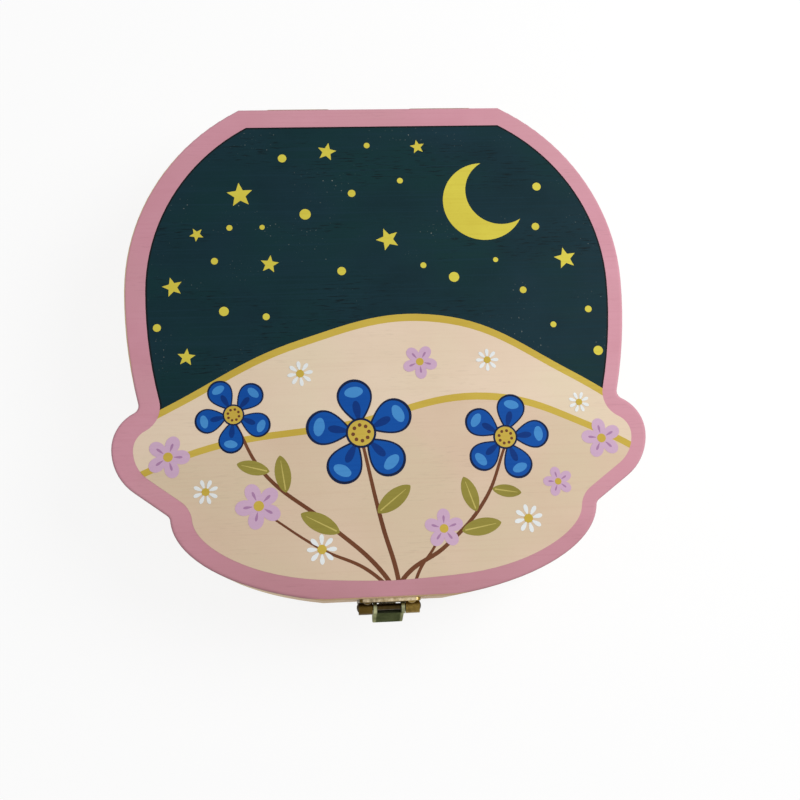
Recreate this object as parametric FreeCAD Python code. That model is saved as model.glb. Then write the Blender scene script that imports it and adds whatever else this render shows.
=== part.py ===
import FreeCAD, Part
import math
import os

from FreeCAD import Vector

# Wooden keepsake box for milk teeth, cut to the outline of a child's head with ears.
# A tray with a well for each tooth is glued to a bottom board. The lid swings on two
# surface hinges behind the crown and is held by a small snap hasp at the chin.
# Origin: middle of the outline on the underside. +X to the right ear, +Y to the crown, +Z up.
# All sizes are in millimetres and all angles in degrees.

# Boards and outline
overall_width = 120.0
overall_depth = 115.0
crown_flat_width = 62.0
chin_flat_width = 29.0
bottom_thickness = 8.0
tray_thickness = 13.0
lid_thickness = 9.0
edge_ease = 0.6
parting_ease = 0.4
notch_radius = 1.8
ear_radius = 12.2

# Outline points, as shares of half the width and half the depth
temple_shares = (0.957, 0.238)
ear_notch_shares = (0.897, -0.248)
ear_tip_shares = (1.0, -0.396)
jaw_shares = (0.788, -0.666)

# Tooth wells and the two compartments
wells_per_arch = 10
well_diameter = 9.0
well_chamfer = 0.5
side_rim = 10.0
end_rim = 14.0
arch_gap_angle = 12.0
compartment_length = 44.0
compartment_width = 17.0
compartment_divider = 5.0
compartment_corner = 4.0

# Nails that hold the fittings
nail_head_radius = 0.95
nail_head_height = 0.5
nail_shank_radius = 0.5
nail_length = 6.0
nail_point_length = 1.2
nail_fit = 0.03

# Surface hinges behind the crown
hinge_width = 16.0
hinge_spacing = 34.0
leaf_thickness = 0.6
leaf_margin = 1.4
leaf_corner = 1.2
knuckle_radius = 1.3
pin_radius = 0.7
pin_head_radius = 1.05
pin_head_height = 0.4
pin_fit = 0.05
running_gap = 0.2
sheet_ease = 0.2
leaf_nail_shares = (0.3, 0.6)

# Snap hasp at the chin
hasp_width = 13.6
hasp_plate_thickness = 0.8
hasp_corner = 1.2
hasp_top_margin = 1.5
hasp_pin_height = 1.8
hasp_knuckle_radius = 1.6
hasp_nail_share = 0.36
tongue_width = 7.0
tongue_length = 8.6
tongue_sheet = 0.8
tongue_window = 1.4
tongue_corner = 0.5
tongue_ajar_angle = 17.0
catch_width = 3.8
catch_reach = 0.9
catch_height = 2.9
catch_bite = 0.5
catch_gap = 0.3
catch_plate_height = 8.0
catch_plate_gap = 0.6

# Length by which a cutting tool passes through what it cuts, and how near an edge has to be to count as found
cut_overrun = 1.0
find_within = 0.001

# Levels and faces that the pieces share
half_width = overall_width / 2
half_depth = overall_depth / 2
front_y = -half_depth
back_y = half_depth
tray_z = bottom_thickness
parting_z = bottom_thickness + tray_thickness
lid_top_z = parting_z + lid_thickness
well_radius = well_diameter / 2
gap_cos = math.cos(math.radians(arch_gap_angle))
gap_sin = math.sin(math.radians(arch_gap_angle))
hinge_axis_y = back_y + knuckle_radius + running_gap
leaf_height = lid_thickness - leaf_margin
hasp_axis_y = front_y - hasp_knuckle_radius - running_gap
hasp_axis_z = parting_z + hasp_pin_height
x_axis = Vector(1, 0, 0)
y_axis = Vector(0, 1, 0)
z_axis = Vector(0, 0, 1)


# Plain solids

def block(low, high):
    size = high - low
    return Part.makeBox(size.x, size.y, size.z, low)


def rod(radius, start, end):
    along = end - start
    return Part.makeCylinder(radius, along.Length, start, along)


def united(shapes):
    return shapes[0].multiFuse(shapes[1:]).removeSplitter()


def upright_edges(solid, points):
    """Edges that stand along Z over the given outline points."""
    found = []
    for edge in solid.Edges:
        ends = [v.Point for v in edge.Vertexes]
        if len(ends) != 2 or abs(ends[0].z - ends[1].z) < find_within:
            continue
        for point in points:
            apart = [math.hypot(e.x - point.x, e.y - point.y) for e in ends]
            if max(apart) < find_within:
                found.append(edge)
    return found


def level_edges(solid, z):
    """Edges of the rim at height z, without those of holes through that face."""
    faces = [f for f in solid.Faces if is_level(f, z)]
    rim = max(faces, key=lambda f: f.Area)
    return rim.OuterWire.Edges


def is_level(face, z):
    box = face.BoundBox
    return abs(box.ZMin - z) < find_within and box.ZLength < find_within


# Outline of the head, seen from above

def oval_arc(centre, reach_x, reach_y, start, middle, end):
    """Stretch of an upright or lying oval that runs from start to end by way of middle."""
    x_end = centre + Vector(reach_x, 0, 0)
    y_end = centre + Vector(0, reach_y, 0)
    if reach_x < reach_y:
        oval = Part.Ellipse(y_end, centre - Vector(reach_x, 0, 0), centre)
    else:
        oval = Part.Ellipse(x_end, y_end, centre)
    low, high = sorted([oval.parameter(start), oval.parameter(end)])
    if not low < oval.parameter(middle) < high:
        low, high = high, low + 2 * math.pi
    return Part.ArcOfEllipse(oval, low, high).toShape()


def at_shares(shares, side):
    return Vector(side * shares[0] * half_width, shares[1] * half_depth, 0)


def bulge(tip, end):
    """Arc that stands upright at its widest point, the tip, and runs to the end point."""
    across = tip.x - end.x
    along = end.y - tip.y
    radius = (across * across + along * along) / (2 * across)
    centre = Vector(tip.x - radius, tip.y, 0)
    half_turn = math.asin(along / radius) / 2
    middle = centre + Vector(radius * math.cos(half_turn), radius * math.sin(half_turn), 0)
    return Part.Arc(tip, middle, end).toShape()


def lobe_point(ear_tip, jaw):
    """Point where the straight edge from the jaw runs into the ear's lower arc."""
    side = math.copysign(1, ear_tip.x)
    inward = Vector(ear_tip.x - side * ear_radius, ear_tip.y, 0) - jaw
    run = math.sqrt(inward.Length ** 2 - ear_radius ** 2)
    heading = math.atan2(inward.y, inward.x) - side * math.asin(ear_radius / inward.Length)
    return jaw + Vector(run * math.cos(heading), run * math.sin(heading), 0)


def jaw_curve(jaw, chin):
    """Quarter of an ellipse about the middle plane, cut off by the chin flat."""
    drop = (jaw.y - chin.y) / math.sqrt(1 - (chin.x / jaw.x) ** 2)
    turn = math.acos(chin.x / jaw.x) / 2
    middle = Vector(jaw.x * math.cos(turn), jaw.y - drop * math.sin(turn), 0)
    return oval_arc(Vector(0, jaw.y, 0), abs(jaw.x), drop, jaw, middle, chin)


def outline_corners(side):
    crown = Vector(side * crown_flat_width / 2, back_y, 0)
    chin = Vector(side * chin_flat_width / 2, front_y, 0)
    shares = (temple_shares, ear_notch_shares, ear_tip_shares, jaw_shares)
    return [crown, *[at_shares(s, side) for s in shares], chin]


def outline_side(side):
    crown, temple, ear_notch, ear_tip, jaw, chin = outline_corners(side)
    ear_lobe = lobe_point(ear_tip, jaw)
    return [
        bulge(temple, crown),
        bulge(temple, ear_notch),
        bulge(ear_tip, ear_notch),
        bulge(ear_tip, ear_lobe),
        Part.makeLine(ear_lobe, jaw),
        jaw_curve(jaw, chin),
    ]


def board(low_z, thickness):
    """Board of the head's outline, with the notches at its ears rounded as the cutter leaves them."""
    right, left = outline_corners(1), outline_corners(-1)
    edges = outline_side(1) + outline_side(-1)
    edges += [Part.makeLine(left[0], right[0]), Part.makeLine(left[-1], right[-1])]
    wire = Part.Wire(Part.__sortEdges__(edges))
    solid = Part.Face(wire).extrude(Vector(0, 0, thickness))
    notches = [corner for _, _, ear_notch, _, jaw, _ in (right, left) for corner in (ear_notch, jaw)]
    solid = solid.makeFillet(notch_radius, upright_edges(solid, notches))
    solid.translate(Vector(0, 0, low_z))
    return solid


# Nails, rivets and the places where they go

def dome(radius, height, low_z, way):
    """Arc from the crest to the brim of a round head that rises (1) or hangs (-1) from a level."""
    sphere = (radius ** 2 + height ** 2) / (2 * height)
    half_turn = math.asin(radius / sphere) / 2
    crest = Vector(0, 0, low_z + way * height)
    shoulder = Vector(sphere * math.sin(half_turn), 0, crest.z - way * sphere * (1 - math.cos(half_turn)))
    return crest, Part.Arc(crest, shoulder, Vector(radius, 0, low_z)).toShape()


def turned(profile, seat, outward):
    """Solid of revolution about Z, set on its seat with Z along outward."""
    solid = Part.Face(Part.Wire(Part.__sortEdges__(profile))).revolve(Vector(), z_axis, 360)
    solid.Placement = FreeCAD.Placement(seat, FreeCAD.Rotation(z_axis, outward))
    return solid


def nail(seat, outward):
    """Round-headed nail: its head sits on the seat, and its shank runs in against outward."""
    crest, head = dome(nail_head_radius, nail_head_height, 0, 1)
    brim = Vector(nail_head_radius, 0, 0)
    neck = Vector(nail_shank_radius, 0, 0)
    taper = Vector(nail_shank_radius, 0, nail_point_length - nail_length)
    point = Vector(0, 0, -nail_length)
    sides = [Part.makeLine(a, b) for a, b in ((brim, neck), (neck, taper), (taper, point), (point, crest))]
    return turned([head, *sides], seat, outward)


def pin(centre, length):
    """Pin along X with a round head peened over at each end."""
    half = length / 2
    profile = []
    crests = []
    for way in (-1, 1):
        crest, head = dome(pin_head_radius, pin_head_height, way * half, way)
        brim = Vector(pin_head_radius, 0, way * half)
        profile += [head, Part.makeLine(brim, Vector(pin_radius, 0, way * half))]
        crests.append(crest)
    profile.append(Part.makeLine(Vector(pin_radius, 0, -half), Vector(pin_radius, 0, half)))
    profile.append(Part.makeLine(*crests))
    return turned(profile, centre, x_axis)


def pin_bore(centre, length):
    reach = x_axis * (length / 2 + cut_overrun)
    return rod(pin_radius + pin_fit, centre - reach, centre + reach)


def nail_holes(seats, outward):
    """Holes for nails, through the plate and into the wood behind it."""
    radius = nail_shank_radius + nail_fit
    return [rod(radius, s + outward * cut_overrun, s - outward * (nail_length + nail_fit)) for s in seats]


def leaf_nail_seats(upward):
    """Both hinges' nail places on the leaves above (1) or below (-1) the pin."""
    seats = []
    for hinge_side in (-1, 1):
        for nail_side in (-1, 1):
            x = hinge_side * hinge_spacing / 2 + nail_side * leaf_nail_shares[0] * hinge_width
            z = parting_z + upward * leaf_nail_shares[1] * leaf_height
            seats.append(Vector(x, back_y + leaf_thickness, z))
    return seats


def hasp_nail_seats(z):
    face_y = front_y - hasp_plate_thickness
    return [Vector(side * hasp_nail_share * hasp_width, face_y, z) for side in (-1, 1)]


lid_plate_top_z = lid_top_z - hasp_top_margin
catch_plate_top_z = parting_z - catch_plate_gap
catch_plate_low_z = catch_plate_top_z - catch_plate_height
leaf_seats_up = leaf_nail_seats(1)
leaf_seats_down = leaf_nail_seats(-1)
lid_plate_seats = hasp_nail_seats((hasp_axis_z + hasp_knuckle_radius + lid_plate_top_z) / 2)
catch_plate_seats = hasp_nail_seats((catch_plate_low_z + catch_plate_top_z) / 2)


# Boards

def bottom_board():
    solid = board(0, bottom_thickness)
    return solid.makeFillet(edge_ease, level_edges(solid, 0))


def well_places():
    """Centres of the wells: an upper and a lower arch on one oval inside the rim, evenly spaced."""
    arch_x = temple_shares[0] * half_width - side_rim - well_radius
    arch_y = half_depth - end_rim - well_radius
    places = []
    for upward in (1, -1):
        ends = [Vector(side * arch_x * gap_cos, upward * arch_y * gap_sin, 0) for side in (1, -1)]
        arch = oval_arc(Vector(0, 0, 0), arch_x, arch_y, ends[0], Vector(0, upward * arch_y, 0), ends[1])
        places += arch.discretize(wells_per_arch)
    return places


def well(place):
    """Cutter for one well, with an eased mouth."""
    low = Vector(place.x, place.y, tray_z - cut_overrun)
    high = Vector(place.x, place.y, parting_z + cut_overrun)
    mouth = Vector(place.x, place.y, parting_z - well_chamfer)
    ease = Part.makeCone(well_radius, well_radius + well_chamfer, well_chamfer, mouth)
    return rod(well_radius, low, high).fuse(ease)


def compartment(side):
    """Cutter for the compartment behind (1) or before (-1) the divider."""
    near = compartment_divider / 2
    far = near + compartment_width
    low_y, high_y = sorted([side * near, side * far])
    low = Vector(-compartment_length / 2, low_y, tray_z - cut_overrun)
    high = Vector(compartment_length / 2, high_y, parting_z + cut_overrun)
    solid = block(low, high)
    corners = [Vector(x, y, 0) for x in (low.x, high.x) for y in (low_y, high_y)]
    return solid.makeFillet(compartment_corner, upright_edges(solid, corners))


def tooth_tray():
    solid = board(tray_z, tray_thickness)
    solid = solid.makeFillet(parting_ease, level_edges(solid, parting_z))
    cutters = [well(p) for p in well_places()]
    cutters += [compartment(side) for side in (-1, 1)]
    cutters += nail_holes(leaf_seats_down, y_axis)
    cutters += nail_holes(catch_plate_seats, -y_axis)
    return solid.cut(cutters)


def lid_board():
    solid = board(parting_z, lid_thickness)
    solid = solid.makeFillet(edge_ease, level_edges(solid, lid_top_z))
    solid = solid.makeFillet(parting_ease, level_edges(solid, parting_z))
    return solid.cut(nail_holes(leaf_seats_up, y_axis) + nail_holes(lid_plate_seats, -y_axis))


# Pressed sheet fittings

def pressed_plate(low, high, outer_y, rounded, corner):
    """Plate cut from sheet, with its corners rounded at the given heights and its outer edges eased."""
    plate = block(low, high)
    plate = plate.makeFillet(corner, [e for e in plate.Edges if runs_through(e, rounded)])
    outer = next(f for f in plate.Faces if faces_out(f, outer_y))
    return plate.makeFillet(sheet_ease, outer.OuterWire.Edges)


def runs_through(edge, heights):
    """True for an edge along Y, through the sheet, at one of the heights."""
    box = edge.BoundBox
    if max(box.XLength, box.ZLength) > find_within:
        return False
    return any(abs(box.ZMin - z) < find_within for z in heights)


def faces_out(face, y):
    box = face.BoundBox
    return box.YLength < find_within and abs(box.YMin - y) < find_within


def knuckle(centre, x_span, radius):
    """Rolled knuckle about a pin along X, between two places along X."""
    low, high = [Vector(x, centre.y, centre.z) for x in x_span]
    return rod(radius, low, high)


# Hinges

def hinge_centre(side):
    return Vector(side * hinge_spacing / 2, hinge_axis_y, parting_z)


def knuckle_spans(centre_x):
    """Low and high x of a hinge's three knuckles, from left to right."""
    length = (hinge_width - 2 * running_gap) / 3
    left = centre_x - hinge_width / 2
    starts = [left + i * (length + running_gap) for i in range(3)]
    return [(start, start + length) for start in starts]


def hinge_leaf(side, upward, own):
    """Leaf above (1) or below (-1) the pin, with its own knuckles and room for the other leaf's."""
    centre = hinge_centre(side)
    spans = knuckle_spans(centre.x)
    outer_y = back_y + leaf_thickness
    end_z = parting_z + upward * leaf_height
    low_z, high_z = sorted([parting_z, end_z])
    low = Vector(centre.x - hinge_width / 2, back_y, low_z)
    high = Vector(centre.x + hinge_width / 2, outer_y, high_z)
    solid = pressed_plate(low, high, outer_y, [end_z], leaf_corner)
    clear = knuckle_radius + running_gap
    for i, (start, end) in enumerate(spans):
        if i not in own:
            room_low = Vector(start - running_gap, back_y - cut_overrun, parting_z - clear)
            room_high = Vector(end + running_gap, outer_y + cut_overrun, parting_z + clear)
            solid = solid.cut(block(room_low, room_high))
    solid = united([solid, *[knuckle(centre, spans[i], knuckle_radius) for i in own]])
    seats = leaf_seats_up if upward > 0 else leaf_seats_down
    return solid.cut([pin_bore(centre, hinge_width), *nail_holes(seats, y_axis)])


def hinge_pin(side):
    return pin(hinge_centre(side), hinge_width)


# Snap hasp

hasp_centre = Vector(0, hasp_axis_y, hasp_axis_z)
hasp_plate_y = front_y - hasp_plate_thickness
tongue_half = tongue_width / 2
tongue_foot_z = hasp_axis_z - tongue_length
lip_top_z = tongue_foot_z + tongue_sheet
catch_low_z = lip_top_z + catch_gap
catch_tip_y = hasp_plate_y - catch_reach
web_inner_y = catch_tip_y - catch_gap
web_outer_y = web_inner_y - tongue_sheet
lip_inner_y = catch_tip_y + catch_bite


def hasp_plate(low_z, high_z, rounded):
    """Plate on the chin flat."""
    low = Vector(-hasp_width / 2, hasp_plate_y, low_z)
    high = Vector(hasp_width / 2, front_y, high_z)
    return pressed_plate(low, high, hasp_plate_y, rounded, hasp_corner)


def hasp_lid_plate():
    """Plate on the lid, with a knuckle at each side and room for the tongue between them."""
    solid = hasp_plate(hasp_axis_z, lid_plate_top_z, [lid_plate_top_z])
    room_half = tongue_half + running_gap
    room_low = Vector(-room_half, hasp_plate_y - cut_overrun, hasp_axis_z - cut_overrun)
    room_high = Vector(room_half, front_y + cut_overrun, hasp_axis_z + hasp_knuckle_radius + running_gap)
    solid = solid.cut(block(room_low, room_high))
    spans = [(-hasp_width / 2, -room_half), (room_half, hasp_width / 2)]
    solid = united([solid, *[knuckle(hasp_centre, span, hasp_knuckle_radius) for span in spans]])
    return solid.cut([pin_bore(hasp_centre, hasp_width), *nail_holes(lid_plate_seats, -y_axis)])


def hasp_pin():
    return pin(hasp_centre, hasp_width)


def hasp_catch_plate():
    """Plate on the tray, with the wedge-shaped catch that the tongue's lip snaps under."""
    plate = hasp_plate(catch_plate_low_z, catch_plate_top_z, [catch_plate_low_z, catch_plate_top_z])
    left_x = -catch_width / 2
    profile = Part.makePolygon([
        Vector(left_x, hasp_plate_y, catch_low_z),
        Vector(left_x, catch_tip_y, catch_low_z),
        Vector(left_x, catch_tip_y, catch_low_z + tongue_sheet),
        Vector(left_x, hasp_plate_y, catch_low_z + catch_height),
        Vector(left_x, hasp_plate_y, catch_low_z),
    ])
    wedge = Part.Face(profile).extrude(Vector(catch_width, 0, 0))
    return united([plate, wedge]).cut(nail_holes(catch_plate_seats, -y_axis))


def hasp_tongue():
    """Tongue pressed from sheet: an ear and a wall at each side, a front web and a lip at its foot."""
    wall_inner_y = hasp_plate_y - catch_gap
    web_top_z = hasp_axis_z - tongue_window
    made = [
        block(Vector(-tongue_half, web_outer_y, tongue_foot_z), Vector(tongue_half, web_inner_y, web_top_z)),
        block(Vector(-tongue_half, web_outer_y, tongue_foot_z), Vector(tongue_half, lip_inner_y, lip_top_z)),
    ]
    for side in (-1, 1):
        low_x, high_x = sorted([side * tongue_half, side * (tongue_half - tongue_sheet)])
        wall_low = Vector(low_x, web_outer_y, tongue_foot_z)
        made.append(block(wall_low, Vector(high_x, wall_inner_y, hasp_axis_z)))
        made.append(knuckle(hasp_centre, (low_x, high_x), hasp_knuckle_radius))
    solid = united(made).cut(pin_bore(hasp_centre, tongue_width))
    solid = solid.makeFillet(tongue_corner, [e for e in solid.Edges if is_tongue_bend(e)])
    solid.rotate(hasp_centre, -x_axis, tongue_ajar_angle)
    return solid


def is_tongue_bend(edge):
    """Outer bends of the sheet: the two long front edges and the one along the foot."""
    box = edge.BoundBox
    at_front = abs(box.YMin - web_outer_y) < find_within and box.YLength < find_within
    along_foot = abs(box.ZMax - tongue_foot_z) < find_within
    along_side = box.ZLength > tongue_length / 2
    return at_front and (along_foot or along_side)


# The finished pieces, by name

def pieces():
    made = {
        "bottom_board": bottom_board(),
        "tooth_tray": tooth_tray(),
        "lid_board": lid_board(),
        "hinge_base_nails": Part.Compound([nail(s, y_axis) for s in leaf_seats_down]),
        "hinge_lid_nails": Part.Compound([nail(s, y_axis) for s in leaf_seats_up]),
        "hasp_lid_plate": hasp_lid_plate(),
        "hasp_pin": hasp_pin(),
        "hasp_tongue": hasp_tongue(),
        "hasp_catch_plate": hasp_catch_plate(),
        "hasp_lid_nails": Part.Compound([nail(s, -y_axis) for s in lid_plate_seats]),
        "hasp_catch_nails": Part.Compound([nail(s, -y_axis) for s in catch_plate_seats]),
    }
    for word, side in (("left", -1), ("right", 1)):
        made[word + "_hinge_base_leaf"] = hinge_leaf(side, -1, (0, 2))
        made[word + "_hinge_lid_leaf"] = hinge_leaf(side, 1, (1,))
        made[word + "_hinge_pin"] = hinge_pin(side)
    return made


def main():
    os.makedirs("parts", exist_ok=True)
    for name, shape in pieces().items():
        shape.exportStep("parts/" + name + ".step")
        print(name, len(shape.Solids), "solid(s)", round(shape.Volume, 2), "mm3", "valid", shape.isValid())


main()
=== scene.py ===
import bpy
import math
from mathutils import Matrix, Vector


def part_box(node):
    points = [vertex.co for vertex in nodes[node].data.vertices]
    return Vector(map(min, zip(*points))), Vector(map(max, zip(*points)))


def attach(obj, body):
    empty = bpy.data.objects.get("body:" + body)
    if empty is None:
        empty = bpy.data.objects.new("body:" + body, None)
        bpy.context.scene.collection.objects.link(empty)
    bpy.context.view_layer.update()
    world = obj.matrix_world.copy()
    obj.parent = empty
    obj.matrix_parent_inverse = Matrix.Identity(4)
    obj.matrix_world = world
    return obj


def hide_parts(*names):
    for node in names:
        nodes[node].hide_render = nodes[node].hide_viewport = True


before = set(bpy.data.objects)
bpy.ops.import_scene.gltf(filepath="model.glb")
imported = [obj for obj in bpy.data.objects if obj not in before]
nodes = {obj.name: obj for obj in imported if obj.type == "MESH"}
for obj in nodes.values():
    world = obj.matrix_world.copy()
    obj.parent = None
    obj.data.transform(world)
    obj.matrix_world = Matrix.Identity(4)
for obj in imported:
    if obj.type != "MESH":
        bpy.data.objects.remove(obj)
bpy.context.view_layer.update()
mm = 0.001
hair = 0.01 * mm  # slack for picking vertices and faces by their place
print("frame loaded:", len(nodes), "nodes")


# small hand tools

def dropAll():
    bpy.ops.object.select_all(action="DESELECT")


def takeUp(piece):
    dropAll()
    piece.select_set(True)
    bpy.context.view_layer.objects.active = piece


def editAll(piece):
    takeUp(piece)
    bpy.ops.object.mode_set(mode="EDIT")
    bpy.ops.mesh.select_all(action="SELECT")


def leaveEdit():
    bpy.ops.object.mode_set(mode="OBJECT")


def pickNone(piece, kind):
    takeUp(piece)
    bpy.ops.object.mode_set(mode="EDIT")
    bpy.ops.mesh.select_mode(type=kind)
    bpy.ops.mesh.select_all(action="DESELECT")
    leaveEdit()


def pickVertices(piece, wanted):
    pickNone(piece, "VERT")
    for vertex in piece.data.vertices:
        vertex.select = wanted(vertex.co)
    bpy.ops.object.mode_set(mode="EDIT")


def pickFaces(piece, wanted):
    pickNone(piece, "FACE")
    for face in piece.data.polygons:
        face.select = wanted(face)
    bpy.ops.object.mode_set(mode="EDIT")


def facesUp(face):
    return face.normal.z > 0.9999


def movePiece(piece, wayMm):
    editAll(piece)
    bpy.ops.transform.translate(value=[reach * mm for reach in wayMm])
    leaveEdit()
    return piece


# options that let a move or a resize fade out over a distance
def softly(falloff, reachMm):
    return {"use_proportional_edit": True, "proportional_edit_falloff": falloff,
            "proportional_size": reachMm * mm}


def settle(piece):
    takeUp(piece)
    bpy.ops.object.transform_apply(location=True, rotation=True, scale=True)
    return piece


def thicken(piece, height):
    editAll(piece)
    bpy.ops.mesh.extrude_region_move(TRANSFORM_OT_translate={"value": (0, 0, height)})
    bpy.ops.mesh.select_all(action="SELECT")
    bpy.ops.mesh.normals_make_consistent(inside=False)
    leaveEdit()
    return piece


def cutWith(piece, cutter, how):
    takeUp(piece)
    cut = piece.modifiers.new("cut", "BOOLEAN")
    cut.operation = how
    cut.solver = "EXACT"
    cut.object = cutter
    bpy.ops.object.modifier_apply(modifier=cut.name)


def copyPiece(piece, name):
    takeUp(piece)
    bpy.ops.object.duplicate()
    twin = bpy.context.object
    twin.name = twin.data.name = name
    return twin


def joinPieces(pieces, name):
    dropAll()
    for piece in pieces:
        piece.select_set(True)
    bpy.context.view_layer.objects.active = pieces[0]
    if len(pieces) > 1:
        bpy.ops.object.join()
    pieces[0].name = pieces[0].data.name = name
    return pieces[0]


def discard(piece):
    takeUp(piece)
    bpy.ops.object.delete()


# finishes: colours are screen levels, sizes are millimetres,
# and a range is (low, high) or (low, high, new low, new high)

def colour(shade):
    def straight(level):
        level /= 255
        return level / 12.92 if level <= 0.04045 else ((level + 0.055) / 1.055) ** 2.4
    return (*[straight(level) for level in shade], 1)


def startFinish(name):
    finish = bpy.data.materials.new(name)
    finish.use_nodes = True
    tree = finish.node_tree
    place = tree.nodes.new("ShaderNodeTexCoord")
    return finish, tree, tree.nodes["Principled BSDF"], place.outputs["Object"]


def shifted(tree, coords, shiftMm=(0, 0, 0), turnDeg=(0, 0, 0), scale=(1, 1, 1)):
    mapping = tree.nodes.new("ShaderNodeMapping")
    mapping.inputs["Location"].default_value = [shift * mm for shift in shiftMm]
    mapping.inputs["Rotation"].default_value = [math.radians(turn) for turn in turnDeg]
    mapping.inputs["Scale"].default_value = scale
    tree.links.new(coords, mapping.inputs["Vector"])
    return mapping.outputs["Vector"]


def axesOf(tree, coords):
    split = tree.nodes.new("ShaderNodeSeparateXYZ")
    tree.links.new(coords, split.inputs[0])
    return split.outputs


def cloud(tree, coords, sizesMm, detail=2.0, rough=0.5):
    scaled = shifted(tree, coords, scale=[1 / mm / size for size in sizesMm])
    noise = tree.nodes.new("ShaderNodeTexNoise")
    noise.inputs["Scale"].default_value = 1
    noise.inputs["Detail"].default_value = detail
    noise.inputs["Roughness"].default_value = rough
    tree.links.new(scaled, noise.inputs["Vector"])
    return noise.outputs["Fac"]


def ranged(tree, value, low, high, newLow=0.0, newHigh=1.0):
    node = tree.nodes.new("ShaderNodeMapRange")
    for socket, number in zip(("From Min", "From Max", "To Min", "To Max"), (low, high, newLow, newHigh)):
        node.inputs[socket].default_value = number
    tree.links.new(value, node.inputs["Value"])
    return node.outputs["Result"]


def rangedMm(tree, value, reachMm, newLow=0.0, newHigh=1.0):
    low, high = reachMm
    return ranged(tree, value, low * mm, high * mm, newLow, newHigh)


def counted(tree, operation, first, second=None):
    node = tree.nodes.new("ShaderNodeMath")
    node.operation = operation
    for socket, value in zip(node.inputs, (first, second)):
        if isinstance(value, (int, float)):
            socket.default_value = value
        elif value is not None:
            tree.links.new(value, socket)
    return node.outputs[0]


def times(tree, first, second):
    return counted(tree, "MULTIPLY", first, second)


def mixed(tree, share, first, second):
    node = tree.nodes.new("ShaderNodeMix")
    node.data_type = "RGBA"
    for socket, value in ((node.inputs[0], share), (node.inputs[6], first), (node.inputs[7], second)):
        if isinstance(value, (int, float, tuple)):
            socket.default_value = value
        else:
            tree.links.new(value, socket)
    return node.outputs[2]


def stepped(tree, value, stops):
    node = tree.nodes.new("ShaderNodeValToRGB")
    ramp = node.color_ramp
    while len(ramp.elements) < len(stops):
        ramp.elements.new(0.5)
    for element, (place, level) in zip(ramp.elements, stops):
        element.position = place
        element.color = (level, level, level, 1)
    tree.links.new(value, node.inputs["Fac"])
    return node.outputs["Color"]


def relief(tree, shader, height, surface):
    bump = tree.nodes.new("ShaderNodeBump")
    bump.inputs["Strength"].default_value = surface["relief"]
    bump.inputs["Distance"].default_value = surface["reliefMm"] * mm
    tree.links.new(height, bump.inputs["Height"])
    tree.links.new(bump.outputs["Normal"], shader.inputs["Normal"])


def coat(tree, shader, tone, rough, height, surface):
    tree.links.new(tone, shader.inputs["Base Color"])
    tree.links.new(ranged(tree, rough, *surface["roughRange"]), shader.inputs["Roughness"])
    shader.inputs["Specular IOR Level"].default_value = surface["gloss"]
    relief(tree, shader, height, surface)


# sawn pine: growth rings round a heart line along X, fine fibres, a few short pores

pine = {
    "early": (231, 207, 170), "late": (206, 168, 119), "pore": (168, 124, 80), "shadeAndSoil": (150, 112, 74),
    "ringMm": 2.6, "wobbleMm": (80, 28, 28), "wobbleRough": 0.4, "wobbleRings": 2.4,
    "ringTones": [(0, 0.05), (0.55, 0.2), (0.86, 0.85), (0.93, 1), (1, 0.08)],
    "patchMm": (60, 30, 30), "patchRange": (0.3, 0.7, 0.45, 0.85),
    "fibreMm": (22, 0.24, 0.24), "fibreRange": (0.3, 0.72, 0.0, 0.34), "fibreDepth": 0.7,
    "poreMm": (5, 0.16, 0.16), "poreRange": (0.66, 0.74), "poreShare": 0.45, "poreDepth": 0.6,
    "seamReachMm": (0.02, 0.06, 0.9), "shadeAndSoilMm": (7, 7, 3), "shadeAndSoilRange": (0.3, 0.7, 0.1, 0.5),
    "frontMm": (-53, -57), "besideMm": (14, 36), "shadeAndHandlingMm": (16, 16, 9),
    "shadeAndHandlingRange": (0.25, 0.75, 0.5, 1.0), "shadeAndHandlingShare": 0.52,
    "roughRange": (0.25, 0.75, 0.5, 0.66), "gloss": 0.3, "reliefMm": 0.05, "relief": 0.6,
}


def pineColour(tree, coords, heartMm, turnDeg):
    laid = shifted(tree, coords, shiftMm=heartMm, turnDeg=(0, 0, turnDeg))
    axes = axesOf(tree, laid)
    squares = [counted(tree, "POWER", axes[axis], 2.0) for axis in "YZ"]
    fromHeart = counted(tree, "SQRT", counted(tree, "ADD", *squares))
    waver = cloud(tree, laid, pine["wobbleMm"], rough=pine["wobbleRough"])
    wobble = times(tree, waver, pine["wobbleRings"])
    rings = counted(tree, "ADD", counted(tree, "DIVIDE", fromHeart, pine["ringMm"] * mm), wobble)
    yearly = stepped(tree, counted(tree, "FRACT", rings), pine["ringTones"])
    fibres = cloud(tree, laid, pine["fibreMm"], detail=3)
    pores = ranged(tree, cloud(tree, laid, pine["poreMm"], detail=1), *pine["poreRange"])
    patch = ranged(tree, cloud(tree, laid, pine["patchMm"]), *pine["patchRange"])
    wood = mixed(tree, times(tree, yearly, patch), colour(pine["early"]), colour(pine["late"]))
    wood = mixed(tree, ranged(tree, fibres, *pine["fibreRange"]), wood, colour(pine["late"]))
    wood = mixed(tree, times(tree, pores, pine["poreShare"]), wood, colour(pine["pore"]))
    raised = times(tree, fibres, pine["fibreDepth"])
    sunk = times(tree, pores, pine["poreDepth"])
    return wood, counted(tree, "SUBTRACT", raised, sunk), fibres


# painted shade and handling dirt: slightly darker edges where the boards meet; the flat faces at the seam's
# own height stay clean

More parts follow.
